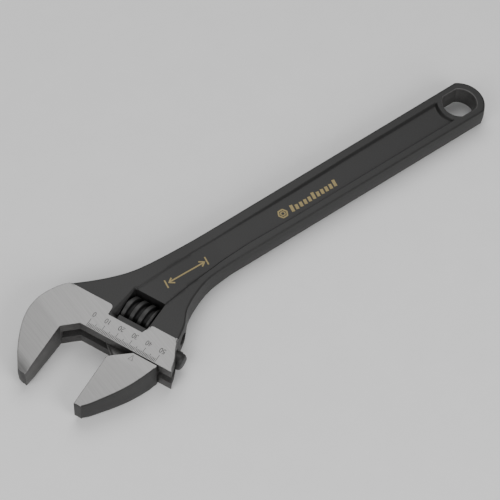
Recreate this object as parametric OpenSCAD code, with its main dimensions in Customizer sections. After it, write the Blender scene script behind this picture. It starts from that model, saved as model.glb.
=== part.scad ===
// Adjustable wrench, 375 mm class: one forging that is handle, fixed jaw and head, a sliding jaw with
// a toothed round shank, and the knurl, its pin and its spring in the window of the head.
// +X runs from the head to the hang hole, +Z is up, and the underside's ground face lies on Z = 0.

/* [Head] */
// Thickness across the two ground faces of the head
head_t = 22; // [20:0.5:24]
// Angle between the jaw faces and the handle
head_angle = 22.5; // [20:0.5:25]
// Depth of the as-forged surface below a ground face
ground_step = 0.4; // [0.2:0.1:0.8]
// How far each face of a jaw leans in towards its tip
jaw_taper = 4.8; // [3:0.1:6]
// Depth of the jaw faces, from the throat to the tips
jaw_reach = 48; // [46:1:49]

/* [Opening] */
// Opening between the jaw faces as drawn
opening = 36.3; // [20:0.1:40]
// Clearance between the sliding jaw and the head
slide_gap = 0.3; // [0.2:0.05:0.5]
// Gap between the slide and the end of the moving jaw's wide part
face_gap = 0.6; // [0.4:0.1:0.9]

/* [Handle] */
// Length from the head's zero mark to the end of the handle
handle_len = 327.5; // [300:0.5:340]
// Half the width of the handle where it leaves the neck
grip_half_w = 15; // [14:0.1:17]
// Half the width of the handle at its hanging end
end_half_w = 15.8; // [15:0.1:18]
// Thickness of the handle across its rims
handle_t = 15; // [13:0.5:17]
// Depth of the long panel in each face of the handle
panel_depth = 2.6; // [1:0.1:3.5]
// Radius of the hang hole
hang_r = 11.5; // [10.5:0.1:12]
// Half the distance between the hang hole's two flats
hang_flat = 9.9; // [9:0.1:10.4]

/* [Knurl and rack] */
// Pitch of the knurl's thread and of the rack's teeth
pitch = 6; // [5.5:0.1:6.5]
// Outer radius of the knurl
knurl_r = 10.4; // [9.9:0.1:10.5]
// Radius at the bottom of the knurl's thread
root_r = 8; // [7.7:0.1:8.2]
// Radius of the jaw's round shank
shank_r = 5.8; // [5.7:0.05:6.1]
// Radius of the pin that carries the knurl
pin_r = 2.95; // [2.5:0.05:3.2]
// Running clearance round the pin and round the shank, on the radius
running = 0.05; // [0.03:0.01:0.08]

/* [Hidden] */
round_fn = 64;
half_t = head_t / 2;
beyond = 3;                             // how far a cut runs past the surface that it opens

// Head frame: first number along the opening, second towards the handle, both from the zero mark,
// which lies this far ahead of the origin and this far below the handle's centre line
head_ahead = 8;
head_drop = 0.9;
fixed_face = -13.8;
moving_face = fixed_face + opening;
throat = -8.5;
relief_end = -4.2;
slide_end = 62.5;
ground_edge = 21.8;
notch_floor = 14.4;
web_t = 6.8;
slot_t = web_t + 2 * slide_gap;
shank_at = 14.7;
shank_end = 62.4;
shank_start = 13;
web_front = [[moving_face + 5, -9.2], [shank_start, 2]];
bore_end = fixed_face + (shank_start - moving_face) - 1;
window_a = [11, 18.3];
window_b = [33.5, 40.1];
knurl_at = (window_a[1] + window_b[1]) / 2;
knurl_start = window_a[0] + 0.4;
knurl_end = 32.2;
crest_w = 2.6;
base_w = 3.8;
tooth_clear = 0.25;
thread_phase = knurl_start + 1.1;        // where a crest lies on the side that faces the rack
spring_r = 4.4;
spring_wire = 0.45;
spring_well = 6;
pin_head_r = 4.4;
pin_head_at = 40;
pin_end = 49.4;
pin_tip = 4.5;

// Handle
end_r = 18.2;
hang_x = handle_len - head_ahead - end_r;
throat_x = head_to_row([fixed_face, throat])[0];
neck_start = 38;
neck_end = 97;
neck_top = half_t - ground_step - 0.1;
panel_start = 39;
panel_full = 177;

// A point of the head frame in the row's own X and Y
function head_to_row(p) = [
    -head_ahead + p[0] * sin(head_angle) + p[1] * cos(head_angle),
    -head_drop - p[0] * cos(head_angle) + p[1] * sin(head_angle)
];
function to_row(points) = [for (p = points) head_to_row(p)];

// Smooth curve through a few points, without its last one
function between(a, b, c, d, t) = 0.5 * (2 * b + (c - a) * t
    + (2 * a - 5 * b + 4 * c - d) * t * t + (3 * b - a - 3 * c + d) * t * t * t);
function smooth(p, steps) = [
    for (i = [0:len(p) - 2], j = [0:steps - 1])
        between(p[max(i - 1, 0)], p[i], p[i + 1], p[min(i + 2, len(p) - 1)], j / steps)
];
function arc(centre, r, from, to, steps) = [
    for (i = [0:steps]) let (a = from + (to - from) * i / steps) centre + r * [cos(a), sin(a)]
];
function ease(t) = t * t * (3 - 2 * t);

// Outline of the forging at its parting line, counter-clockwise from the hanging end
end_turn = asin(end_half_w / end_r);
upper_neck = [[102, grip_half_w], [72, 14.9], [52, 15.4], [38, 17.1], [25, 21.2], [13, 26.4], [3, 31.4]];
fixed_tip = 1.4 - jaw_reach;
head_back = to_row([[-30.5, 17.2], [-34.8, 9.7], [-37.6, 1.5], [-38.3, -7.5], [-36.6, -16.5], [-32.6, -26.3],
    [-27.5, -35.6], [-23, -42.2], [-20.8, fixed_tip + 1.5], [-18.5, fixed_tip + 0.4], [-16.3, fixed_tip]]);
jaw_inside = to_row([[fixed_face, fixed_tip], [fixed_face, throat], [relief_end, 0]]);
lower_neck = concat(to_row([[slide_end, 0], [60, 9], [55.3, 19]]),
    [[42.9, -36.4], [51.9, -27.4], [64.6, -20.6], [77.8, -16.5], [96, -grip_half_w]]);
body_outline = concat(
    arc([hang_x, 0], end_r, -end_turn, end_turn, 16),
    smooth(concat(upper_neck, head_back), 4),
    [head_back[len(head_back) - 1]],
    jaw_inside,
    smooth(lower_neck, 4),
    [lower_neck[len(lower_neck) - 1]]
);

// Outline of the sliding jaw, counter-clockwise from the corner of its gripping face and its relief
heel = moving_face + 31;
jaw_back = [[-25.8, -jaw_reach], [-21.7, -43.5], [-18, -38.1], [-12.5, -29.9], [-6.8, -19.7],
    [-2, -8], [-0.4, -1.8]];
jaw_outline = concat(
    [[moving_face, -11], [moving_face, -jaw_reach]],
    smooth([for (p = jaw_back) [heel + p[0], p[1]]], 4),
    [[heel - 0.4, -1.8], [heel - 0.7, -face_gap], [moving_face + 12.8, -face_gap], [moving_face + 2, -9.2]]
);

// A flat plate about the middle of the head's thickness
module plate(outline, thickness) {
    linear_extrude(height = thickness, center = true) polygon(outline);
}

module on_both_faces() {
    children();
    mirror([0, 0, 1]) children();
}
module in_head() {
    translate([-head_ahead, -head_drop, 0]) rotate([0, 0, head_angle - 90]) children();
}
// A solid that starts at along = 0 and runs along the opening, seen end on
module along_opening(from, at) {
    in_head() translate([from, at, 0]) rotate([0, 90, 0]) children();
}

// What is cut off each face, drawn in the X and Z of the row and run right across it
module across_row(points) {
    rotate([90, 0, 0]) linear_extrude(height = 160, center = true) polygon(points);
}
// What the lean takes off one face of a jaw, from a little behind its throat to beyond its tip
function lean_cut(at) = [[at - 90, half_t - 90 * tan(jaw_taper)], [at + 20, half_t + 20 * tan(jaw_taper)],
    [at - 90, half_t + 20 * tan(jaw_taper)]];
function neck_z(x) = neck_top - (neck_top - handle_t / 2) * ease((x - neck_start) / (neck_end - neck_start));
function panel_z(x) = neck_z(min(x, neck_end)) - 0.3
    - (panel_depth - 0.3) * ease(min(1, (x - panel_start) / (panel_full - panel_start)));
module neck_fall() {
    across_row(concat(
        [[neck_start - 4, half_t + beyond]],
        [for (i = [0:12]) let (x = neck_start + (neck_end - neck_start) * i / 12) [x, neck_z(x)]],
        [[handle_len, handle_t / 2], [handle_len, half_t + beyond]]));
}
module forged_skin() {
    in_head() translate([0, 0, half_t - ground_step]) linear_extrude(height = beyond)
        polygon([[-60, ground_edge], [6.9, ground_edge], [6.9, notch_floor], [32.6, notch_floor],
            [32.6, ground_edge], [90, ground_edge], [90, 70], [-60, 70]]);
}

module panel() {
    edge = hang_r + 3.8;
    intersection() {
        linear_extrude(height = head_t) polygon(concat(
            [[panel_start, 4], [43.5, -16.4], [64, -13.2], [92, -9.7], [114, -8.8], [152, -9.7]],
            [for (a = [-39:9.75:39]) [hang_x - edge * cos(a), edge * sin(a)]],
            [[212, 9.3], [127, 8.1], [80, 7.2]]));
        across_row(concat(
            [for (i = [0:12]) let (x = panel_start + (panel_full - panel_start) * i / 12) [x, panel_z(x)]],
            [[handle_len, panel_z(panel_full)], [handle_len, head_t], [panel_start, head_t]]));
    }
}

module hang_hole() {
    translate([hang_x, 0, 0]) intersection() {
        cylinder(h = 2 * head_t, r = hang_r, center = true, $fn = round_fn);
        cube([4 * hang_r, 2 * hang_flat, 3 * head_t], center = true);
    }
}

module window() {
    size = window_b - window_a;
    lead = 4;
    in_head() {
        translate([window_a[0], window_a[1], -head_t]) cube([size[0], size[1], 2 * head_t]);
        // Lead-in for the thumb, on the side nearer the fixed jaw
        on_both_faces() translate([0, window_b[1] - 0.5, 0]) rotate([90, 0, 0])
            linear_extrude(height = size[1] - 1) polygon([[window_a[0] - lead, half_t + 0.5],
                [window_a[0] + 1, half_t - 6], [window_a[0] + 1, half_t + 0.5]]);
    }
}

// Slot for the web, and the bore that the shank slides in
module jaw_way() {
    in_head() plate([[fixed_face + 0.3, -20], [slide_end + 20, -20], [slide_end + 20, shank_at],
        [bore_end, shank_at], [bore_end, 2.1], [fixed_face + 0.3, -6.3]], slot_t);
    along_opening(bore_end, shank_at)
        cylinder(h = slide_end + 20 - bore_end, r = shank_r + running, $fn = round_fn);
}

module pin_bores() {
    along_opening(pin_tip - 0.5, knurl_at)
        cylinder(h = pin_end + 10 - pin_tip, r = pin_r + running, $fn = round_fn);
    along_opening(pin_head_at, knurl_at) cylinder(h = 30, r = pin_head_r + running, $fn = round_fn);
}

module body() {
    color([0.17, 0.18, 0.18]) translate([0, 0, half_t]) difference() {
        plate(body_outline, head_t);
        on_both_faces() {
            across_row(lean_cut(throat_x + 0.5));
            neck_fall();
            forged_skin();
            panel();
        }
        hang_hole();
        window();
        jaw_way();
        pin_bores();
    }
}

module rack_gap() {
    lead = atan(pitch / (2 * PI * (knurl_r + root_r) / 2));
    depth_top = shank_at + shank_r + 1;
    depth_bottom = knurl_at - knurl_r - 0.3;
    top_w = width_at(knurl_at - depth_top) / 2 + tooth_clear;
    bottom_w = crest_w / 2 + tooth_clear;
    rotate([0, lead, 0]) linear_extrude(height = 30, center = true)
        polygon([[-bottom_w, depth_bottom], [bottom_w, depth_bottom], [top_w, depth_top],
            [-top_w, depth_top]]);
}
// Width of the knurl's thread at a given radius
function width_at(r) = base_w + (crest_w - base_w) * (r - root_r) / (knurl_r - root_r);

module shank() {
    edge = 1.2;
    along_opening(shank_start, shank_at) rotate_extrude($fn = round_fn) polygon([
        [0, 0], [shank_r - edge, 0], [shank_r, edge], [shank_r, shank_end - shank_start - 2.4],
        [shank_r - 0.7, shank_end - shank_start - 0.7], [shank_r - 2.4, shank_end - shank_start],
        [0, shank_end - shank_start]]);
}

module jaw() {
    color([0.72, 0.72, 0.70]) translate([0, 0, half_t]) {
        difference() {
            in_head() plate(jaw_outline, head_t);
            in_head() on_both_faces() rotate([90, 0, 90]) linear_extrude(height = 160, center = true)
                polygon(lean_cut(throat + 0.5));
        }
        in_head() plate([web_front[0], [heel - 3, -6], [heel - 1.5, -1], [heel - 1.5, shank_at - shank_r / 2],
            [shank_start, shank_at - shank_r / 2], web_front[1]], web_t);
        difference() {
            shank();
            in_head() for (k = [-1:8]) translate([thread_phase + k * pitch, 0, 0]) rack_gap();
        }
    }
}

// The groove of the knurl's left-hand thread, wound round the axis of the opening and run out past both
// ends of the knurl
module groove() {
    turn_steps = 24;
    first = -1;
    last = ceil((knurl_end - knurl_start) / pitch) + 1;
    rings = (last - first) * turn_steps;
    top_r = knurl_r + 1;
    bottom_w = pitch - base_w;
    top_w = pitch - width_at(top_r);
    section = [[root_r, -bottom_w / 2], [top_r, -top_w / 2], [top_r, top_w / 2], [root_r, bottom_w / 2]];
    n = len(section);
    points = [for (i = [0:rings]) let (turn = first + i / turn_steps)
        each [for (s = section) [
            thread_phase + (turn + 0.5) * pitch + s[1],
            -s[0] * cos(360 * turn),
            s[0] * sin(360 * turn)]]];
    sides = [for (i = [0:rings - 1], k = [0:n - 1])
        let (a = i * n + k, b = i * n + (k + 1) % n) each [[a, a + n, b], [b, a + n, b + n]]];
    polyhedron(points, concat(sides, [[for (k = [0:n - 1]) k]], [[for (k = [n - 1:-1:0]) rings * n + k]]));
}

module knurl() {
    length = knurl_end - knurl_start;
    color([0.20, 0.20, 0.20]) translate([0, 0, half_t]) difference() {
        along_opening(knurl_start, knurl_at) cylinder(h = length, r = knurl_r, $fn = round_fn);
        in_head() translate([0, knurl_at, 0]) groove();
        along_opening(knurl_start - beyond, knurl_at)
            cylinder(h = length + 2 * beyond, r = pin_r + running, $fn = round_fn);
        along_opening(knurl_end - spring_well, knurl_at)
            cylinder(h = spring_well + beyond, r = spring_r + spring_wire + 0.4, $fn = round_fn);
    }
}

module pin() {
    slot_w = 1.2;
    color([0.30, 0.30, 0.30]) translate([0, 0, half_t]) difference() {
        union() {
            along_opening(pin_tip, knurl_at)
                cylinder(h = pin_head_at + 1 - pin_tip, r = pin_r, $fn = round_fn);
            along_opening(pin_head_at, knurl_at)
                cylinder(h = pin_end - pin_head_at, r = pin_head_r, $fn = round_fn);
        }
        in_head() translate([pin_end - 1.6, knurl_at - 10, -slot_w / 2]) cube([5, 20, slot_w]);
    }
}

module spring() {
    turns = 4;
    rest_len = window_b[0] - (knurl_end - spring_well) - 0.3;
    steps = 20;
    rings = turns * steps;
    sides_n = 8;
    rise = (rest_len - 2 * spring_wire) / rings;
    points = [for (i = [0:rings], k = [0:sides_n - 1])
        let (a = 360 * i / steps, b = 360 * k / sides_n, r = spring_r + spring_wire * cos(b))
            [spring_wire + rise * i + spring_wire * sin(b), r * cos(a), r * sin(a)]];
    faces = [for (i = [0:rings - 1], k = [0:sides_n - 1])
        let (a = i * sides_n + k, b = i * sides_n + (k + 1) % sides_n)
            each [[a, b, a + sides_n], [b, b + sides_n, a + sides_n]]];
    color([0.65, 0.65, 0.66]) translate([0, 0, half_t]) in_head()
        translate([knurl_end - spring_well + 0.1, knurl_at, 0])
            polyhedron(points, concat(faces, [[for (k = [sides_n - 1:-1:0]) k]],
                [[for (k = [0:sides_n - 1]) rings * sides_n + k]]));
}

body();
jaw();
knurl();
pin();
spring();
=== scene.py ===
"""The looks of an adjustable wrench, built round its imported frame: one detailed piece for each CAD node, the
scale and pointer on the ground faces, two gold pictograms in the handle's panel, and a plain studio.

Shapes are worked out in millimetres about the middle of the wrench's thickness, and become metres in solid().
The head frame has its first number along the opening and its second towards the handle."""
import math

import bpy
import bmesh
import numpy as np
from mathutils import Matrix, Vector
from mathutils.geometry import delaunay_2d_cdt


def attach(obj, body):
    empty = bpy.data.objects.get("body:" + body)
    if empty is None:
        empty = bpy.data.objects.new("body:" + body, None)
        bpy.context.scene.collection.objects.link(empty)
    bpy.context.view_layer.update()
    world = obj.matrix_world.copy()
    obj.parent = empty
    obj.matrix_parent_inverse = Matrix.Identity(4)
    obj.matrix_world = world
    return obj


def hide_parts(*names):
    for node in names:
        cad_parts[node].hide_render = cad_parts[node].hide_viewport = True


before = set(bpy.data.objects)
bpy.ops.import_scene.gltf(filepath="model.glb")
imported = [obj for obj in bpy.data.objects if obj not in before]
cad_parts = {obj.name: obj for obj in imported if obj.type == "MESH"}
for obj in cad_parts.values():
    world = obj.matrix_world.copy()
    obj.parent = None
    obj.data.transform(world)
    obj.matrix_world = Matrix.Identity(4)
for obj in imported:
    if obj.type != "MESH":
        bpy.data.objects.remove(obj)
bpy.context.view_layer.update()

MM = 0.001
ANGLE = math.radians(22.5)      # between the gripping faces and the handle
SIN, COS = math.sin(ANGLE), math.cos(ANGLE)
AHEAD, DROP = 8.0, 0.9          # where the scale's zero mark is, ahead of and below the origin

MIDDLE = 11.0                   # height of the mid-plane
HALF = 10.96                    # from the mid-plane to a ground face, just inside the CAD box
STEP = 0.42                     # from a ground face down to the forged skin
HANDLE_HALF = 7.46              # from the mid-plane to the rims of the handle
NECK_AT, NECK_LENGTH = 34, 66   # where the head thins into the handle
LEAN = math.tan(math.radians(4.8))  # slope of the jaws' ground faces towards their tips
TIP_LENGTH, TIP_BEND = 7, 0.015     # the last stretch of the fixed jaw, which bends further

FIXED, MOVING = -13.8, 22.5     # the two gripping faces
THROAT, RELIEF, SLIDE_END = -8.5, -4.2, 62.5
REACH, FIXED_TIP = 48.0, -46.6
HEEL = MOVING + 31
SLIDE_GAP = 0.6
SLOT_T, WEB_T, WEB_BEVEL = 7.4, 6.8, 0.9
SHANK_AT, SHANK_R, SHANK_START, SHANK_END = 14.7, 5.78, 13.0, 62.4
BORE_END = FIXED + SHANK_START - MOVING - 1
BORE_GAP, PIN_GAP = 0.07, 0.05

KNURL_AT, KNURL_R, ROOT_R = 29.2, 10.38, 8.0
KNURL_START, KNURL_END, PITCH = 11.4, 32.2, 6.0
KNURL_BEVEL = 0.7
CREST_AT, CREST_HALF, FLANK = KNURL_START + 1.1, 1.15, 0.75
PIN_R, PIN_HEAD_R, PIN_TIP, PIN_HEAD, PIN_END = 2.95, 4.4, 4.5, 40.0, 49.4
DRIVER_SLOT, DRIVER_DEPTH = 1.2, 1.6
SPRING_DEPTH, SPRING_LENGTH, SPRING_TURNS, COIL_R, WIRE_R = 5.45, 6.7, 4, 4.4, 0.44

WINDOW_LEFT, WINDOW_RIGHT, WINDOW_LOW, WINDOW_HIGH = 11.0, 33.5, 18.3, 40.1
PAD_EDGE, PAD_NOTCH = 21.8, 14.4    # how far up the head the ground area goes, and below the window
SCOOP_NARROW, SCOOP_WIDE = 1.2, 4.4

HANG_X, END_R, GRIP_W, END_W = 301.3, 18.2, 15.0, 15.8
HOLE_R, HOLE_TURN = 11.5, 59
PANEL_END_R, PANEL_END_TURN = 15.3, 39
PANEL_AT, PANEL_LENGTH, PANEL_SHALLOW, PANEL_DEEP = 39, 138, 0.7, 2.5


# ---------------------------------------------------------------- plane geometry
def to_row(points):
    p = np.asarray(points, float)
    u, v = p[..., 0], p[..., 1]
    return np.stack([-AHEAD + u * SIN + v * COS, -DROP - u * COS + v * SIN], -1)


def to_head(points):
    p = np.asarray(points, float)
    x, y = p[..., 0] + AHEAD, p[..., 1] + DROP
    return x * SIN - y * COS, x * COS + y * SIN


def smooth(points, steps):
    """Catmull-Rom curve through the points, with its last point."""
    p = np.asarray(points, float)
    out = []
    for i in range(len(p) - 1):
        a, b, c, d = p[max(i - 1, 0)], p[i], p[i + 1], p[min(i + 2, len(p) - 1)]
        for t in np.arange(steps) / steps:
            out.append(0.5 * (2 * b + (c - a) * t + (2 * a - 5 * b + 4 * c - d) * t * t
                              + (3 * b - a - 3 * c + d) * t ** 3))
    return np.array(out + [p[-1]])


def arc(centre, r, start, end, steps):
    a = np.radians(np.linspace(start, end, steps + 1))
    return np.stack([centre[0] + r * np.cos(a), centre[1] + r * np.sin(a)], 1)


def fillet(points, radii, steps=5):
    """A closed polygon with its corners rounded."""
    p = np.asarray(points, float)
    out = []
    for i, r in enumerate(radii):
        a, b, c = p[i - 1], p[i], p[(i + 1) % len(p)]
        d, e = (a - b) / np.linalg.norm(a - b), (c - b) / np.linalg.norm(c - b)
        turn = math.acos(np.clip(d @ e, -1, 1))
        if r <= 0 or turn > math.pi - 0.02:
            out.append(b)
            continue
        back = r / math.tan(turn / 2)
        s, t = b + d * back, b + e * back
        centre = b + (d + e) / np.linalg.norm(d + e) * r / math.sin(turn / 2)
        f, g = s - centre, t - centre
        sweep = math.atan2(f[0] * g[1] - f[1] * g[0], f @ g)
        start = math.atan2(f[1], f[0])
        for angle in start + sweep * np.arange(steps + 1) / steps:
            out.append(centre + r * np.array([math.cos(angle), math.sin(angle)]))
    return np.array(out)


def resample(points, longest, closed=True):
    """Splits long edges; returns the points, and for each the index of the edge that it starts."""
    p = np.asarray(points, float)
    out, edge = [], []
    for i in range(len(p) if closed else len(p) - 1):
        a, b = p[i], p[(i + 1) % len(p)]
        n = max(1, math.ceil(np.linalg.norm(b - a) / longest - 1e-6))
        for k in range(n):
            out.append(a + (b - a) * k / n)
            edge.append(i)
    if not closed:
        out.append(p[-1])
        edge.append(len(p) - 1)
    return np.array(out), np.array(edge)


def inward(points):
    """For each corner of a closed outline, the step that moves both its edges one unit to their left."""
    d = np.roll(points, -1, 0) - points
    d /= np.linalg.norm(d, axis=1)[:, None]
    n = np.stack([-d[:, 1], d[:, 0]], 1)
    m = np.roll(n, 1, 0)
    return (m + n) / (1 + (m * n).sum(1))[:, None]


def distance(points, line, closed=True):
    p = np.asarray(points, float)
    a = np.asarray(line, float)
    b = np.roll(a, -1, 0)
    if not closed:
        a, b = a[:-1], b[:-1]
    best = np.full(len(p), np.inf)
    for s, e in zip(a, b):
        d = e - s
        t = np.clip(((p - s) @ d) / max(d @ d, 1e-12), 0, 1)
        best = np.minimum(best, np.linalg.norm(p - s - t[:, None] * d, axis=1))
    return best


def inside(points, outline):
    x, y = np.asarray(points, float).T
    hit = np.zeros(len(x), bool)
    for (x0, y0), (x1, y1) in zip(outline, np.roll(outline, -1, 0)):
        cross = (y0 > y) != (y1 > y)
        if y1 != y0:
            hit ^= cross & (x < (x1 - x0) * (y - y0) / (y1 - y0) + x0)
    return hit


def signed(points, outline):
    """Distance to a closed outline, positive inside it."""
    return np.where(inside(points, outline), 1, -1) * distance(points, outline)


def ease(t):
    t = np.clip(t, 0, 1)
    return t * t * (3 - 2 * t)


# ---------------------------------------------------------------- materials
def surface(name, light, dark, rough, metal, scale, stretch=(1, 1, 1), turn=0.0, bump=0.0, spread=0.08,
            specular=0.5):
    """A procedural finish: two colours mixed by a noise, which also moves the roughness and the bump."""
    material = bpy.data.materials.new(name)
    material.use_nodes = True
    nodes, links = material.node_tree.nodes, material.node_tree.links
    shader = nodes["Principled BSDF"]
    shader.inputs["Metallic"].default_value = metal
    shader.inputs["Specular IOR Level"].default_value = specular
    coords = nodes.new("ShaderNodeTexCoord")
    mapping = nodes.new("ShaderNodeMapping")
    mapping.inputs["Rotation"].default_value = (0, 0, turn)
    mapping.inputs["Scale"].default_value = stretch
    noise = nodes.new("ShaderNodeTexNoise")
    noise.inputs["Scale"].default_value = scale
    noise.inputs["Detail"].default_value = 6
    noise.inputs["Roughness"].default_value = 0.62
    ramp = nodes.new("ShaderNodeValToRGB")
    ramp.color_ramp.elements[0].position, ramp.color_ramp.elements[1].position = 0.34, 0.68
    ramp.color_ramp.elements[0].color, ramp.color_ramp.elements[1].color = (*dark, 1), (*light, 1)
    vary = nodes.new("ShaderNodeMapRange")
    vary.inputs["To Min"].default_value, vary.inputs["To Max"].default_value = rough - spread, rough + spread
    height = nodes.new("ShaderNodeBump")
    height.inputs["Strength"].default_value = bump
    height.inputs["Distance"].default_value = 0.0002
    links.new(coords.outputs["Object"], mapping.inputs["Vector"])
    links.new(mapping.outputs["Vector"], noise.inputs["Vector"])
    links.new(noise.outputs["Fac"], ramp.inputs["Fac"])
    links.new(ramp.outputs["Color"], shader.inputs["Base Color"])
    links.new(noise.outputs["Fac"], vary.inputs["Value"])
    links.new(vary.outputs["Result"], shader.inputs["Roughness"])
    links.new(noise.outputs["Fac"], height.inputs["Height"])
    links.new(height.outputs["Normal"], shader.inputs["Normal"])
    return material


def grey(value, warm=0.0):
    return value * (1 + warm), value, value * (1 - warm)


FORGING = surface("forged_black", grey(0.018, 0.02), grey(0.012, 0.02), 0.5, 0.0, 900, bump=0.35,
                  specular=0.42)
BRIGHT = surface("ground_steel", grey(0.27, 0.01), grey(0.21, 0.01), 0.42, 1.0, 900, (1, 0.03, 1), -0.17,
                 bump=0.12)
CUT = surface("milled_steel", grey(0.13, 0.02), grey(0.08, 0.02), 0.45, 0.9, 700, (0.08, 1, 1), 0.4, 0.12)
# in the slot and bores, a darker copy of the milled steel as painted shade; on the hang hole's wall, lighter
# than the black forging, as painted light
INNER_SHADE_HOLE_LIGHT = surface("slot_wall_shade_hole_light", grey(0.10, 0.02), grey(0.07, 0.02), 0.5, 0.5, 700, bump=0.1)
KNURLED = surface("worm_steel", grey(0.024, 0.02), grey(0.019, 0.02), 0.52, 0.0, 900, bump=0.06, spread=0.04)
# the knurl's grooves: a darker copy of the worm's steel, as painted shade
GROOVE_SHADE = surface("worm_groove_painted_shade", grey(0.008, 0.02), grey(0.005, 0.02), 0.6, 0.0, 900, bump=0.2, specular=0.3)
PIN_STEEL = surface("pin_steel", grey(0.16, 0.02), grey(0.10, 0.02), 0.4, 1.0, 700, bump=0.1)
SPRING_STEEL = surface("spring_steel", grey(0.6, 0.01), grey(0.45, 0.01), 0.3, 1.0, 800, bump=0.05)
INK = surface("etched_mark", grey(0.04, 0.02), grey(0.03, 0.02), 0.7, 0.0, 900, specular=0.2)
GOLD = surface("gold_print", (0.30, 0.235, 0.10), (0.23, 0.18, 0.075), 0.5, 0.3, 900, bump=0.1)
FLOOR = surface("floor_paper", grey(0.86), grey(0.84), 0.8, 0.0, 40, specular=0.2)
FORGED, GROUND, MILLED, DEEP_SHADE_HOLE_LIGHT = 0, 1, 2, 3
WRENCH = [FORGING, BRIGHT, CUT, INNER_SHADE_HOLE_LIGHT]


# ---------------------------------------------------------------- meshes
def solid(name, verts, faces, materials, slots=0, sharp=32, weld=0.0):
    """A piece from points in millimetres about the mid-plane; slots numbers each face's material."""
    mesh = bpy.data.meshes.new(name)
    for material in materials:
        mesh.materials.append(material)
    points = (np.asarray(verts, float) + [0, 0, MIDDLE]) * MM
    mesh.from_pydata(points.tolist(), [], [list(map(int, f)) for f in faces])
    mesh.polygons.foreach_set("material_index", np.broadcast_to(slots, len(faces)).astype(np.int32))
    if weld:
        bm = bmesh.new()
        bm.from_mesh(mesh)
        bmesh.ops.remove_doubles(bm, verts=bm.verts, dist=weld * MM)
        bmesh.ops.dissolve_degenerate(bm, edges=bm.edges, dist=1e-7)
        bm.to_mesh(mesh)
        bm.free()
    piece = bpy.data.objects.new(name, mesh)
    bpy.context.scene.collection.objects.link(piece)
    finish_mesh(piece, sharp)
    return piece


def place(piece, body, node=None):
    """Says what the piece moves with, and hides the CAD node that it stands for."""
    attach(piece, body)
    if node:
        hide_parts(node)


def finish_mesh(piece, sharp):
    mesh = piece.data
    mesh.polygons.foreach_set("use_smooth", [True] * len(mesh.polygons))
    mesh.set_sharp_from_angle(angle=math.radians(sharp))
    mesh.update()


def boolean(piece, tool, operation="DIFFERENCE", sharp=32):
    """Joins or cuts a piece with another, which is used up."""
    modifier = piece.modifiers.new("cut", "BOOLEAN")
    modifier.operation, modifier.solver, modifier.object = operation, "MANIFOLD", tool
    graph = bpy.context.evaluated_depsgraph_get()
    result = bpy.data.meshes.new_from_object(piece.evaluated_get(graph))
    piece.modifiers.clear()
    piece.data = result
    bpy.data.objects.remove(tool)
    finish_mesh(piece, sharp)


def loft(rings, closed_ends=True, closed_rings=False):
    """Faces between rings with the same number of points, which run counter-clockwise as seen from the
    last ring's side."""
    n = len(rings[0])
    verts = np.concatenate(rings)
    faces = []
    for j in range(len(rings) - (0 if closed_rings else 1)):
        low, high = j * n, ((j + 1) % len(rings)) * n
        for i in range(n):
            k = (i + 1) % n
            faces.append((low + i, low + k, high + k, high + i))
    if closed_ends and not closed_rings:
        faces.append(tuple(range(n))[::-1])
        faces.append(tuple((len(rings) - 1) * n + i for i in range(n)))
    return verts, faces


def prism(outline, low, high):
    """A straight prism on a counter-clockwise outline."""
    return loft([np.column_stack([outline, np.full(len(outline), z)]) for z in (low, high)])


def turned(profile, v, steps=64):
    """A turned solid on the axis that runs along the opening at v; its profile is (u, radius) points."""
    rings = []
    for u, r in profile:
        a = np.linspace(0, 2 * math.pi, steps, endpoint=False)
        xy = to_row(np.column_stack([np.full(steps, u), v + r * np.cos(a)]))
        rings.append(np.column_stack([xy, r * np.sin(a)]))
    return loft(rings)


# ---------------------------------------------------------------- a forged plate
EDGE_BAND = 0.5                 # width of the flat band beside a rounded edge
CREASE_STEP, CREASE_CLEAR = 1.2, 0.12
GRID_GAP, ROW_GAP, FINE_GAP = 2.6, 0.87, 0.55   # the second is a share of the first
EDGE_CLEAR, HOLE_CLEAR, LINE_CLEAR = 0.7, 0.5, 0.35
SLIVER = 2e-5                   # twice the area below which a triangle is left out


def edge_rings(loop, height):
    """The rings of a drafted and rounded edge, from the lower face round to the upper one."""
    points, step, draft, radius, _ = loop
    top = height(points + step * (draft + radius)[:, None])
    rings = []
    for k in (0, 0.5, 1):
        rings.append(np.column_stack([points + step * (draft * k)[:, None], (top - radius) * k]))
    for a in np.radians((22.5, 45, 67.5, 90)):
        at = points + step * (draft + radius * (1 - math.cos(a)))[:, None]
        rings.append(np.column_stack([at, top - radius * (1 - math.sin(a))]))
    last = points + step * (draft + radius + EDGE_BAND)[:, None]
    rings.append(np.column_stack([last, height(last)]))
    return [r * [1, 1, -1] for r in rings[:0:-1]] + rings


def edge_slots(rings, wall, pad):
    """The finishes of the faces between those rings: ground on the pad, with the wall's finish below."""
    last = rings[-1][:, :2]
    on_pad = np.ones(len(last), bool)
    if pad is not None:
        on_pad = signed(0.5 * (last + np.roll(last, -1, 0)), pad) > 0
    half = len(rings) // 2
    slots = []
    for level in np.abs(np.arange(len(rings) - 1) + 0.5 - half):
        if level > half - 1:
            slots.append(np.where(on_pad, GROUND, FORGED))
        elif level > half - 4 and pad is not None:
            slots.append(np.where(on_pad, GROUND, wall))
        else:
            slots.append(wall)
    return np.concatenate(slots)


def clip_creases(lines, outer, holes):
    """The stretches of the lines that lie within the face."""
    stretches = []
    for line in lines:
        p, _ = resample(line, CREASE_STEP, closed=False)
        clear = inside(p, outer) & (distance(p, outer) > CREASE_CLEAR)
        for hole in holes:
            clear &= ~inside(p, hole) & (distance(p, hole) > CREASE_CLEAR)
        stretches.append([])
        for point, ok in zip(p, clear):
            if ok:
                stretches[-1].append(point)
            elif stretches[-1]:
                stretches.append([])
    return [np.array(run) for run in stretches if len(run) > 1]


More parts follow.
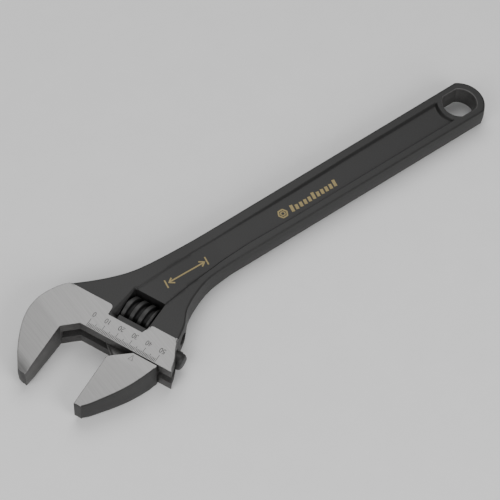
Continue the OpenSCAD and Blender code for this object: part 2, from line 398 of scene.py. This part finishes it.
def fill_points(outer, holes, creases, fine):
    """Points on staggered rows that fill a face, closer together within the fine outline."""
    low, high = outer.min(0), outer.max(0)
    rows = np.arange(low[1], high[1], GRID_GAP * ROW_GAP)
    grid = np.array([(x + (0.5 * GRID_GAP if j % 2 else 0), y)
                     for j, y in enumerate(rows) for x in np.arange(low[0], high[0], GRID_GAP)])
    if fine is not None:
        low, high = fine.min(0), fine.max(0)
        more = np.array([(x, y) for x in np.arange(low[0], high[0], FINE_GAP)
                         for y in np.arange(low[1], high[1], FINE_GAP)])
        grid = np.concatenate([grid[~inside(grid, fine)], more[inside(more, fine)]])
    keep = inside(grid, outer) & (distance(grid, outer) > EDGE_CLEAR)
    for hole in holes:
        keep &= ~inside(grid, hole) & (distance(grid, hole) > HOLE_CLEAR)
    for line in creases:
        keep[keep] &= distance(grid[keep], line, closed=False) > LINE_CLEAR
    return grid[keep]


def face_triangles(outer, holes, creases, points):
    """Triangles that fill a face and follow its outlines and creases."""
    coords, edges = [], []
    for loop in [outer] + holes:
        base, n = len(coords), len(loop)
        coords.extend(loop)
        edges.extend((base + i, base + (i + 1) % n) for i in range(n))
    for line in creases:
        base = len(coords)
        coords.extend(line)
        edges.extend((base + i, base + i + 1) for i in range(len(line) - 1))
    coords.extend(points)
    out = delaunay_2d_cdt([Vector(c) for c in coords], edges, [], 1, 1e-7)
    xy = np.array([tuple(c) for c in out[0]])
    triangles = np.array([tuple(t) for t in out[2]])
    a, b = xy[triangles[:, 1]] - xy[triangles[:, 0]], xy[triangles[:, 2]] - xy[triangles[:, 0]]
    centre = xy[triangles].mean(1)
    keep = inside(centre, outer) & (np.abs(a[:, 0] * b[:, 1] - a[:, 1] * b[:, 0]) > SLIVER)
    for hole in holes:
        keep &= ~inside(centre, hole)
    return xy, triangles[keep]


def forged_plate(name, loops, height, lines=(), pad=None, fine=None):
    """A plate with rounded edges, the same on both faces. Each loop is from outline_loop(), with the metal on
    its left; height gives the upper face; lines are creases for the faces to follow."""
    verts, faces, slots, inner = [], [], [], []
    count = 0
    for loop in loops:
        rings = edge_rings(loop, height)
        points, quads = loft(rings, closed_ends=False)
        verts.append(points)
        faces.extend(tuple(i + count for i in quad) for quad in quads)
        slots.extend(edge_slots(rings, loop[-1], pad))
        inner.append(rings[-1][:, :2])
        count += len(points)

    outer, holes = inner[0], inner[1:]
    creases = clip_creases(lines, outer, holes)
    xy, triangles = face_triangles(outer, holes, creases, fill_points(outer, holes, creases, fine))
    kind = np.full(len(triangles), GROUND)
    if pad is not None:
        kind = np.where(signed(xy[triangles].mean(1), pad) > 0, GROUND, FORGED)
    z = height(xy)
    for sign in (1, -1):
        verts.append(np.column_stack([xy, sign * z]))
        faces.extend(map(tuple, triangles[:, ::sign] + count))
        slots.extend(kind)
        count += len(xy)
    return solid(name, np.concatenate(verts), faces, WRENCH, slots, sharp=30, weld=0.004)


def outline_loop(parts, longest=2.4):
    """Joins stretches of outline, each (points, draft, edge radius, finish of the wall), into one loop."""
    corners = np.concatenate([points for points, *_ in parts])
    draft, radius, wall = (np.array([part[k] for part in parts for _ in part[0]]) for k in (1, 2, 3))
    p, edge = resample(corners, longest)
    before = np.roll(edge, 1)
    # the inward steps of the points along an edge lie between those of its two corners
    after = (edge + 1) % len(corners)
    length = np.linalg.norm(corners[after] - corners[edge], axis=1)
    t = (np.linalg.norm(p - corners[edge], axis=1) / length)[:, None]
    steps = inward(corners)
    step = steps[edge] * (1 - t) + steps[after] * t
    draft, radius = (np.minimum(value[edge], value[before]) for value in (draft, radius))
    return p, step, draft, radius, wall[edge]


# ---------------------------------------------------------------- the body
CURVE_STEPS = 7
THROAT_X = to_row((FIXED, THROAT))[0] + 0.5
TIP_X = to_row((FIXED, FIXED_TIP))[0]
PAD = to_row(fillet(
    [(-60, PAD_EDGE), (6.5, PAD_EDGE), (7.1, PAD_NOTCH), (32.2, PAD_NOTCH), (34.8, PAD_EDGE), (95, PAD_EDGE),
     (95, -70), (-60, -70)],
    [0, 2.6, 0.6, 0.3, 2.2, 0, 0, 0]))[::-1]
PAD_WALL = 0.22                 # width of the slope from the skin up to a ground face
PANEL = fillet(
    [(32.6, 3.6), (41.0, -17.0), (64, -13.2), (92, -9.7), (114, -8.8), (152, -9.6)]
    + [(HANG_X - PANEL_END_R * math.cos(a), PANEL_END_R * math.sin(a))
       for a in np.radians(np.linspace(-PANEL_END_TURN, PANEL_END_TURN, 15))]
    + [(212, 9.4), (127, 8.1), (80, 7.2), (50, 4.9)],
    [0] * 6 + [0.8] + [0] * 13 + [0.8] + [0] * 4)


def neck(x):
    """Height of the forged skin, which falls from the head to the handle."""
    return HALF - STEP - (HALF - STEP - HANDLE_HALF) * ease((x - NECK_AT) / NECK_LENGTH)


def panel_depth(x):
    return PANEL_SHALLOW + (PANEL_DEEP - PANEL_SHALLOW) * ease((x - PANEL_AT) / PANEL_LENGTH)


def panel_wall(x):
    return 0.55 + 0.42 * panel_depth(x)


def scoop(p):
    """How far the skin dips towards the left side of the window."""
    u, v = to_head(p)
    wide = SCOOP_NARROW + (SCOOP_WIDE - SCOOP_NARROW) * ease((WINDOW_HIGH + 0.4 - v) / 26)
    bend = np.clip((u - WINDOW_LEFT + wide) / wide, 0, 1)
    ends = ease((v - PAD_NOTCH - 1) / 3) * ease((WINDOW_HIGH + 1.3 - v) / 1.4)
    return (1 - np.sqrt(1 - 0.96 * bend ** 2)) * 1.25 * wide * ends * (u < WINDOW_LEFT + 2)


def body_height(p):
    x = p[:, 0]
    ground = HALF - np.maximum(0, THROAT_X - x) * LEAN - TIP_BEND * np.maximum(0, TIP_X + TIP_LENGTH - x) ** 2
    skin = np.minimum(ground - STEP, neck(x))
    on_pad = np.clip(signed(p, PAD) / PAD_WALL + 1, 0, 1)
    z = skin + np.maximum(ground - skin, 0) * on_pad
    return z - panel_depth(x) * ease(signed(p, PANEL) / panel_wall(x)) - scoop(p)


def offset_lines(outline, shifts):
    """Copies of a closed outline, moved inwards by a number or by a function of X."""
    step = inward(outline)
    out = []
    for shift in shifts:
        far = shift(outline[:, 0])[:, None] if callable(shift) else shift
        line = outline + step * far
        out.append(np.concatenate([line, line[:1]]))
    return out


upper_neck = [(102, GRIP_W), (72, 14.9), (52, 15.4), (38, 17.1), (25, 21.2), (13, 26.4), (3, 31.4)]
head_back = to_row([(-30.5, 17.2), (-34.8, 9.7), (-37.6, 1.5), (-38.3, -7.5), (-36.6, -16.5), (-32.6, -26.3),
                    (-27.5, -35.6), (-23, -42.2), (-20.8, FIXED_TIP + 1.5), (-18.5, FIXED_TIP + 0.4),
                    (-16.3, FIXED_TIP)])
back_curve = smooth(np.concatenate([upper_neck, head_back]), CURVE_STEPS)
pad_start = int(np.argmax(to_head(back_curve)[1] < PAD_EDGE))
lower_curve = smooth(np.concatenate([to_row([(SLIDE_END, 0), (60, 9), (55.3, 19)]),
                                     [(42.9, -36.4), (51.9, -27.4), (64.6, -20.6), (77.8, -16.5),
                                      (96, -GRIP_W)]]), CURVE_STEPS)
# without the points close beside the slide's corner, where the edge would fold over itself
slide_side = lower_curve[[0] + list(range(4, 2 * CURVE_STEPS))]
end_turn = math.degrees(math.asin(END_W / END_R))
body_loop = outline_loop([
    (arc((HANG_X, 0), END_R, -end_turn, end_turn, 30), 0.5, 1.3, FORGED),
    (back_curve[:pad_start], 0.55, 1.1, FORGED),
    (back_curve[pad_start:], 0.35, 0.35, FORGED),
    (to_row([(FIXED, FIXED_TIP), (FIXED, THROAT), (RELIEF, 0)]), 0.0, 0.25, MILLED),
    (slide_side, 0.5, 0.55, FORGED),
    (lower_curve[2 * CURVE_STEPS:], 0.55, 1.2, FORGED),
])
hole = np.concatenate([arc((HANG_X, 0), HOLE_R, a - HOLE_TURN, a + HOLE_TURN, 14) for a in (0, 180)])
window = to_row(fillet([(WINDOW_LEFT, WINDOW_LOW), (WINDOW_RIGHT, WINDOW_LOW), (WINDOW_RIGHT, WINDOW_HIGH),
                        (WINDOW_LEFT, WINDOW_HIGH)], [0.8] * 4, 4))
# the hang hole's wall takes the slot's finish, lighter than its black forging: painted light
body_loops = [body_loop, outline_loop([(hole[::-1], 0.25, 0.7, DEEP_SHADE_HOLE_LIGHT)], 2.0),
              outline_loop([(window[::-1], 0.0, 0.25, FORGED)], 1.6)]
scoop_area = to_row([(6, 14.8), (WINDOW_LEFT, 14.8), (WINDOW_LEFT, 42), (6, 42)])
creases = offset_lines(PAD, [0.0, -PAD_WALL])
creases += offset_lines(PANEL, [lambda x, t=t: t * panel_wall(x) for t in (0, 0.25, 0.5, 0.75, 1)])
creases += [np.array([(THROAT_X, -20), (THROAT_X, 60)])]
body = forged_plate("wrench_body", body_loops, body_height, creases, PAD, scoop_area)

beyond = SLIDE_END + 20
slot = to_row([(FIXED + 0.3, -20), (beyond, -20), (beyond, SHANK_AT), (BORE_END, SHANK_AT), (BORE_END, 2.1),
               (FIXED + 0.3, -6.3)])
# the cut faces of the slot and bores take a darker copy of the milled steel: painted shade
for cutter in (prism(slot, -SLOT_T / 2, SLOT_T / 2),
               turned([(BORE_END, SHANK_R + BORE_GAP), (beyond, SHANK_R + BORE_GAP)], SHANK_AT),
               turned([(PIN_TIP - 0.5, PIN_R + PIN_GAP), (PIN_HEAD + 1, PIN_R + PIN_GAP)], KNURL_AT),
               turned([(PIN_HEAD, PIN_HEAD_R + PIN_GAP), (PIN_HEAD + 30, PIN_HEAD_R + PIN_GAP)], KNURL_AT)):
    boolean(body, solid("cutter", *cutter, WRENCH, DEEP_SHADE_HOLE_LIGHT))
place(body, "body", "body")


# ---------------------------------------------------------------- the jaw
def jaw_height(p):
    return HALF - np.maximum(0, THROAT + 0.5 - to_head(p)[1]) * LEAN


back = smooth([(HEEL + u, v) for u, v in ((-25.8, -REACH), (-21.7, -43.5), (-18, -38.1), (-12.5, -29.9),
                                          (-6.8, -19.7), (-2, -8), (-0.4, -1.8))], CURVE_STEPS)
jaw_loop = outline_loop([
    (to_row([(MOVING, -11)]), 0.0, 0.25, MILLED),
    (to_row([(MOVING, -REACH)]), 0.1, 0.3, FORGED),
    (to_row(back[:-3]), 0.3, 0.7, FORGED),
    (to_row(back[-3:]), 0.2, 0.3, FORGED),
    (to_row([(HEEL - 0.7, -SLIDE_GAP), (MOVING + 12.8, -SLIDE_GAP), (MOVING + 2, -9.2)]), 0.0, 0.35, MILLED),
])
jaw = forged_plate("sliding_jaw", [jaw_loop], jaw_height,
                   [to_row([(MOVING - 9, THROAT + 0.5), (HEEL + 9, THROAT + 0.5)])])

# the web and the shank end 0.04 mm apart, so that their end faces don't lie in one plane
web_start = SHANK_START + 0.04
web = to_row([(27.5, -9.2), (HEEL - 3, -6), (HEEL - 1.5, -1), (HEEL - 1.5, 11.8), (web_start, 11.8),
              (web_start, 2)])
web_in = web + inward(web) * np.array([[WEB_BEVEL], [0], [0], [0], [0], [WEB_BEVEL]])
web_rings = [np.column_stack([edge, np.full(len(edge), z)])
             for edge, z in ((web_in, -WEB_T / 2), (web, WEB_BEVEL - WEB_T / 2), (web, WEB_T / 2 - WEB_BEVEL),
                             (web_in, WEB_T / 2))]
boolean(jaw, solid("web", *loft(web_rings), WRENCH, MILLED), "UNION")

rounded_end = [(SHANK_END - back_by, SHANK_R - less)
               for back_by, less in ((2.4, 0), (1.5, 0.25), (0.7, 0.7), (0.2, 1.5), (0, 2.4))]
shank = solid("shank", *turned([(SHANK_START, SHANK_R - 1.2), (SHANK_START + 1.2, SHANK_R)] + rounded_end,
                               SHANK_AT), WRENCH, FORGED)
lead = PITCH / (math.pi * (KNURL_R + ROOT_R))
tooth_gap = np.array([(-1.55, 18.5), (1.55, 18.5), (2.2, 21.5), (-2.2, 21.5)])
for k in range(-1, 9):
    gap = [np.column_stack([to_row(tooth_gap + [CREST_AT + k * PITCH + z * lead, 0]), np.full(4, z)])
           for z in (-9, 9)]
    boolean(shank, solid("gap", *loft(gap), WRENCH, MILLED))
boolean(jaw, shank, "UNION")
place(jaw, "jaw", "jaw")


# ---------------------------------------------------------------- knurl, pin and spring
def worm_radius(along, turns):
    off = np.abs((along - CREST_AT - PITCH * turns + PITCH / 2) % PITCH - PITCH / 2)
    return KNURL_R - (KNURL_R - ROOT_R) * ease((off - CREST_HALF) / FLANK)


flank = [CREST_HALF + FLANK * t for t in (0, 0.2, 0.4, 0.6, 0.8, 1)]
across = [-off for off in flank[::-1]] + [0] + flank + [PITCH / 2]
knots = np.array([k * PITCH + off for k in range(-2, 6) for off in across])
columns, radii = [], []
for turns in np.linspace(0, 1, 73):
    along = CREST_AT + PITCH * turns + knots
    along = np.clip(along, KNURL_START + KNURL_BEVEL, KNURL_END - KNURL_BEVEL)
    along = np.concatenate([[KNURL_START], along, [KNURL_END]])
    r = worm_radius(along, turns)
    r[[0, -1]] = np.minimum(r[[0, -1]], KNURL_R - KNURL_BEVEL)
    # then back through the bore, which is wide at one end to hold the spring
    along = np.concatenate([along, [KNURL_END, KNURL_END - 0.25, KNURL_END - 6, KNURL_END - 6, KNURL_START]])
    r = np.concatenate([r, [5.5, 5.25, 5.25, PIN_R + PIN_GAP, PIN_R + PIN_GAP]])
    xy = to_row(np.column_stack([along, KNURL_AT - r * np.cos(2 * math.pi * turns)]))
    columns.append(np.column_stack([xy, r * np.sin(2 * math.pi * turns)]))
    radii.append(r)
position = np.arange(len(radii[0]))
lower = np.minimum(radii, np.roll(radii, -1, 1))[:-1]
# faces down in the grooves take the darker copy of the worm's steel: painted shade
groove_shade_mask = (lower < KNURL_R - 0.3) & (position > 0) & (position < len(knots))
worm = solid("worm_knurl", *loft(columns, closed_ends=False), [KNURLED, GROOVE_SHADE], groove_shade_mask.ravel(), 40, 0.02)
place(worm, "knurl", "knurl")

pin = solid("knurl_pin", *turned([(PIN_TIP, PIN_R - 0.5), (PIN_TIP + 0.5, PIN_R), (PIN_HEAD, PIN_R),
                                  (PIN_HEAD, PIN_HEAD_R), (PIN_END - 0.4, PIN_HEAD_R),
                                  (PIN_END, PIN_HEAD_R - 0.4)], KNURL_AT), [PIN_STEEL])
driver = to_row([(PIN_END - DRIVER_DEPTH, KNURL_AT - 11), (PIN_END + 4, KNURL_AT - 11),
                 (PIN_END + 4, KNURL_AT + 9), (PIN_END - DRIVER_DEPTH, KNURL_AT + 9)])
boolean(pin, solid("driver_slot", *prism(driver, -DRIVER_SLOT / 2, DRIVER_SLOT / 2), [PIN_STEEL]))
place(pin, "body", "pin")

coil = []
for turns in np.linspace(0, SPRING_TURNS, 129):
    a = 2 * math.pi * turns
    ring = []
    for b in np.linspace(0, 2 * math.pi, 10, endpoint=False):
        r = COIL_R + WIRE_R * math.cos(b)
        along = KNURL_END - SPRING_DEPTH + SPRING_LENGTH * turns / SPRING_TURNS + WIRE_R * math.sin(b)
        x, y = to_row((along, KNURL_AT + r * math.cos(a)))
        ring.append((x, y, r * math.sin(a)))
    coil.append(np.array(ring))
spring = solid("coil_spring", *loft(coil[::-1]), [SPRING_STEEL], sharp=60)
place(spring, "body", "spring")


# ---------------------------------------------------------------- marks
def ribbon(line, width, low, high, closed=False):
    """A thin solid strip along a line; low and high are heights or functions of the points."""
    p = np.asarray(line, float)
    d = np.roll(p, -1, 0) - np.roll(p, 1, 0)
    if not closed:
        d[0], d[-1] = p[1] - p[0], p[-1] - p[-2]
    n = np.column_stack([-d[:, 1], d[:, 0]]) / np.linalg.norm(d, axis=1)[:, None] * width / 2
    left, right = p + n, p - n

    def at(xy, h):
        return np.column_stack([xy, h(xy) if callable(h) else np.full(len(xy), h)])

    corners = np.stack([at(left, low), at(left, high), at(right, high), at(right, low)], 1)
    return loft(list(corners), closed_ends=not closed, closed_rings=closed)


def gather(parts):
    """Joins (points, faces) pairs into one."""
    verts, faces, count = [], [], 0
    for v, f in parts:
        verts.append(v)
        faces.extend(tuple(i + count for i in q) for q in f)
        count += len(v)
    return np.concatenate(verts), faces


def ellipse(cx, cy, rx, ry, start, end, n):
    a = np.radians(np.linspace(start, end, n))
    return [(cx + rx * math.cos(t), cy + ry * math.sin(t)) for t in a]


DIGITS = {
    "0": [ellipse(0.85, 1.8, 0.75, 1.65, 0, 340, 18)],
    "1": [[(0.35, 2.8), (0.95, 3.45), (0.95, 0.15)]],
    "2": [ellipse(0.85, 2.6, 0.72, 0.85, 165, -35, 9) + [(0.1, 0.15), (1.6, 0.15)]],
    "3": [ellipse(0.8, 2.65, 0.7, 0.8, 150, -80, 9), ellipse(0.8, 1.05, 0.8, 0.9, 85, -150, 9)],
    "4": [[(1.25, 0.15), (1.25, 3.45), (0.1, 1.1), (1.7, 1.1)]],
    "5": [[(1.5, 3.45), (0.35, 3.45), (0.2, 1.95)] + ellipse(0.8, 1.2, 0.8, 1.05, 125, -150, 10)],
}
MARK = (HALF - 0.02, HALF + 0.025)
TICK_AT, TICKS = 0.4, (6.3, 4.4, 3.1)   # where the lines start, and where tens, fives and ones end
DIGIT_STEP, DIGIT_GAP, NUMBER_AT, INK_W = 2.15, 0.35, 11.6, 0.42


def tick(mm):
    end = TICKS[0 if mm % 10 == 0 else 1 if mm % 5 == 0 else 2]
    return ribbon(to_row([(mm, TICK_AT), (mm, end)]), 0.34 if mm % 5 == 0 else INK_W, *MARK)


def number(mm):
    """The strokes of a number, which reads from the handle's side."""
    word = str(mm)
    start = mm + (DIGIT_STEP * len(word) - DIGIT_GAP) / 2
    return [ribbon(to_row([(start - DIGIT_STEP * i - x, NUMBER_AT - y) for x, y in stroke]), INK_W, *MARK,
                   closed=digit == "0")
            for i, digit in enumerate(word) for stroke in DIGITS[digit]]


scale = []
for mm in range(0, 51):
    scale.append(tick(mm))
    if mm % 10 == 0:
        scale.extend(number(mm))
scale_marks = solid("scale_marks", *gather(scale), [INK])
place(scale_marks, "body")

pointer = to_row([(34.9, -6.1), (37.7, -6.1), (36.5, -2.2)])
pointer_mark = solid("pointer_mark", *gather([ribbon(pointer, 0.45, *MARK, closed=True)]), [INK])
place(pointer_mark, "jaw")


PRINT = (lambda p: body_height(p) - 0.05, lambda p: body_height(p) + 0.05)


def strip(points, width, closed=False):
    line, _ = resample(points, 1.2 if closed else 1.5, closed)
    return ribbon(line, width, *PRINT, closed=closed)


# an arrow with two heads between two bars
gold = [strip([(54, -3.9), (81, -3.5)], 1.0)]
for x, y, way in ((53.2, -4.1, 1), (81.8, -3.4, -1)):
    gold.append(strip([(x + 3.4 * way, y + 2.2), (x, y), (x + 3.4 * way, y - 2.2)], 1.0))
for x, y in ((51.2, -4.2), (83.4, -3.4)):
    gold.append(strip([(x - 0.6, y - 3.1), (x + 0.6, y + 3.1)], 1.0))
# a hexagonal nut, and a row of slanted bars
for r, width, turn in ((3.3, 1.1, 60), (1.5, 0.8, 24)):
    gold.append(strip([(146.6 + r * math.cos(a), -1.9 + r * math.sin(a))
                       for a in np.radians(range(0, 360, turn))], width, closed=True))
for i in range(11):
    x = 153.6 + 3.55 * i
    top = 0.6 if i % 5 == 0 else -0.9
    gold.append(strip([(x, -4.7), (x + 1.1 + 0.18 * top, top)], 2.2))
gold_marks = solid("gold_marks", *gather(gold), [GOLD])
place(gold_marks, "body")


# ---------------------------------------------------------------- studio
floor_mesh = bpy.data.meshes.new("floor")
FLOOR_HALF = 3.0                # in metres, as is the rest of the studio
floor_mesh.from_pydata([(x * FLOOR_HALF, y * FLOOR_HALF, 0) for x, y in ((-1, -1), (1, -1), (1, 1), (-1, 1))],
                       [], [(0, 1, 2, 3)])
floor_mesh.materials.append(FLOOR)
floor = bpy.data.objects.new("floor", floor_mesh)
bpy.context.scene.collection.objects.link(floor)

world = bpy.data.worlds.new("studio")
world.use_nodes = True
world.node_tree.nodes["Background"].inputs["Color"].default_value = (1, 1, 1, 1)
world.node_tree.nodes["Background"].inputs["Strength"].default_value = 0.27
bpy.context.scene.world = world


def soft_light(name, at, aim, size, power):
    light = bpy.data.lights.new(name, "AREA")
    light.shape, light.size, light.energy = "DISK", size, power
    lamp = bpy.data.objects.new(name, light)
    lamp.location = at
    lamp.rotation_euler = (Vector(aim) - Vector(at)).to_track_quat("-Z", "Y").to_euler()
    bpy.context.scene.collection.objects.link(lamp)


soft_light("key", (0.5, 0.6, 1.5), (0.08, 0, 0), 1.3, 12)
soft_light("fill", (-1.0, -0.3, 0.9), (0.08, 0, 0), 0.9, 8)
soft_light("front", (0.2, -1.1, 0.7), (0.1, 0, 0), 0.8, 8)

CAMERA_AT = (-0.30023, -0.49117, 0.96904)
azimuth, elevation, roll = (math.radians(a) for a in (-40.703, 56.453, 4.343))
away = Vector((math.sin(azimuth) * math.cos(elevation), -math.cos(azimuth) * math.cos(elevation),
               math.sin(elevation)))
level = Vector((math.cos(azimuth), math.sin(azimuth), 0))
right = level * math.cos(roll) + away.cross(level) * math.sin(roll)
up = away.cross(right)
camera_data = bpy.data.cameras.new("camera")
camera_data.lens = 127.43
camera_data.sensor_width = 36
camera = bpy.data.objects.new("camera", camera_data)
camera.matrix_world = Matrix([(right[i], up[i], away[i], CAMERA_AT[i]) for i in range(3)] + [(0, 0, 0, 1)])
bpy.context.scene.collection.objects.link(camera)
bpy.context.scene.camera = camera
